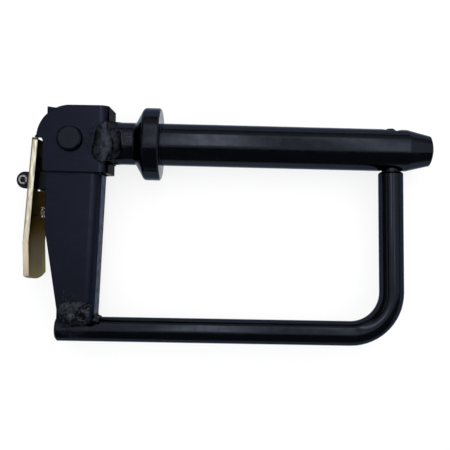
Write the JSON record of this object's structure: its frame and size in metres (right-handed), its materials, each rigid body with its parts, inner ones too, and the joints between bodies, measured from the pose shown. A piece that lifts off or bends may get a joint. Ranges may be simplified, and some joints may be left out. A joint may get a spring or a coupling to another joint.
{
  "type": "hitch pin",
  "caption": "Headed steel hitch pin with a swinging rod handle that locks through the nose, held shut by a sprung latch lever on a folded channel.",
  "frame": {"origin": "on the pin's axis, in the collar's seating face", "axes": "+X along the pin towards its nose, +Y away from the handle, +Z off the side the pin lies on"},
  "size_m": [0.2743, 0.1564, 0.048],
  "materials": {
    "black_paint": "satin",
    "zinc": "satin",
    "spring_steel": "satin"
  },
  "bodies": {
    "pin": {"pin_bar": "black_paint", "head_bracket": "black_paint", "head_weld": "black_paint", "pivot_pin": "black_paint"},
    "handle": {"handle_arm": "black_paint", "handle_rod": "black_paint", "foot_weld": "black_paint", "lever_lug": "black_paint", "roll_pin": "spring_steel", "spring_post": "black_paint", "lever_spring": "spring_steel"},
    "lever": {"latch_lever": "zinc"}
  },
  "joints": [
    {"name": "handle_swing", "type": "hinge", "parent": "pin", "child": "handle", "pos_m": [-0.057, 0.0004, 0], "axis": [0, 0, -1], "range_deg": [0, 83]},
    {"name": "lever_press", "type": "hinge", "parent": "handle", "child": "lever", "pos_m": [-0.088, -0.0263, 0], "axis": [0, 0, 1], "range_deg": [0, 7], "stiffness_Nm_per_rad": 2, "springref_deg": -8.59, "deforming": ["lever_spring"]}
  ]
}
